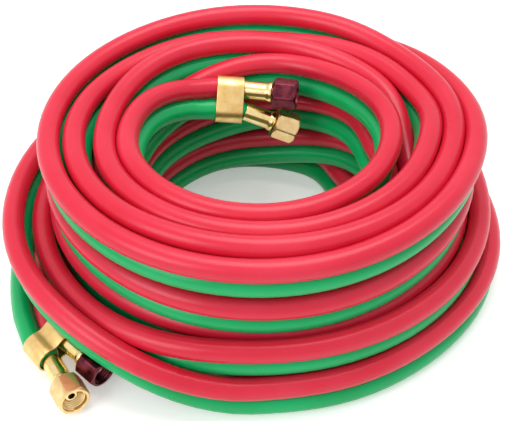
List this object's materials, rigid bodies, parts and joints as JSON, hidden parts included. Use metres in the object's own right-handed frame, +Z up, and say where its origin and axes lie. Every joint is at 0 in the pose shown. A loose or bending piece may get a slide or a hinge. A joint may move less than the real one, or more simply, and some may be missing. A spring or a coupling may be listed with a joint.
{
  "type": "coiled twin welding hose",
  "caption": "Round coil of bonded red fuel and green oxygen welding hose, with brass bands, crimped ferrules and hexagon swivel nuts on its free ends.",
  "frame": {"origin": "on the floor, under the middle of the bounding box of the whole coil", "axes": "+Z up along the coil's axis, +X to the side that the inner end points to, -Y to the front, where the outer end's nuts point"},
  "size_m": [0.3117, 0.2764, 0.1057],
  "materials": {
    "fuel_hose_rubber": "smooth satin red hose cover",
    "oxygen_hose_rubber": "smooth satin green hose cover",
    "yellow_brass": "bright turned brass",
    "maroon_lacquered_brass": "dark maroon lacquer on brass"
  },
  "bodies": {
    "coil": {"oxygen_coil_row_1": "oxygen_hose_rubber", "fuel_coil_row_1": "fuel_hose_rubber", "oxygen_coil_row_2": "oxygen_hose_rubber", "fuel_coil_row_2": "fuel_hose_rubber", "oxygen_coil_row_3": "oxygen_hose_rubber", "fuel_coil_row_3": "fuel_hose_rubber", "oxygen_coil_row_4": "oxygen_hose_rubber", "fuel_coil_row_4": "fuel_hose_rubber", "fuel_hose_inner_end": "fuel_hose_rubber", "oxygen_hose_inner_end": "oxygen_hose_rubber", "band_inner_end": "yellow_brass", "fuel_ferrule_inner_end": "yellow_brass", "fuel_nipple_inner_end": "yellow_brass", "oxygen_ferrule_inner_end": "yellow_brass", "oxygen_nipple_inner_end": "yellow_brass", "fuel_hose_outer_end": "fuel_hose_rubber", "oxygen_hose_outer_end": "oxygen_hose_rubber", "band_outer_end": "yellow_brass", "fuel_ferrule_outer_end": "yellow_brass", "fuel_nipple_outer_end": "yellow_brass", "oxygen_ferrule_outer_end": "yellow_brass", "oxygen_nipple_outer_end": "yellow_brass"},
    "fuel_inner_nut": {"fuel_nut_inner_end": "maroon_lacquered_brass"},
    "oxygen_inner_nut": {"oxygen_nut_inner_end": "yellow_brass"},
    "fuel_outer_nut": {"fuel_nut_outer_end": "maroon_lacquered_brass"},
    "oxygen_outer_nut": {"oxygen_nut_outer_end": "yellow_brass"}
  },
  "joints": [
    {"name": "fuel_inner_nut_turn", "type": "hinge", "parent": "coil", "child": "fuel_inner_nut", "pos_m": [0.01888, 0.04671, 0.08831], "axis": [0.9854, -0.1704, 0.0074], "continuous": true},
    {"name": "oxygen_inner_nut_turn", "type": "hinge", "parent": "coil", "child": "oxygen_inner_nut", "pos_m": [0.01855, 0.04276, 0.06587], "axis": [0.918, -0.0296, -0.3955], "continuous": true},
    {"name": "fuel_outer_nut_turn", "type": "hinge", "parent": "coil", "child": "fuel_outer_nut", "pos_m": [-0.09151, -0.1083, 0.01106], "axis": [0.7416, -0.6668, -0.0732], "continuous": true},
    {"name": "oxygen_outer_nut_turn", "type": "hinge", "parent": "coil", "child": "oxygen_outer_nut", "pos_m": [-0.10375, -0.12749, 0.01162], "axis": [0.4951, -0.8639, 0.0923], "continuous": true}
  ]
}
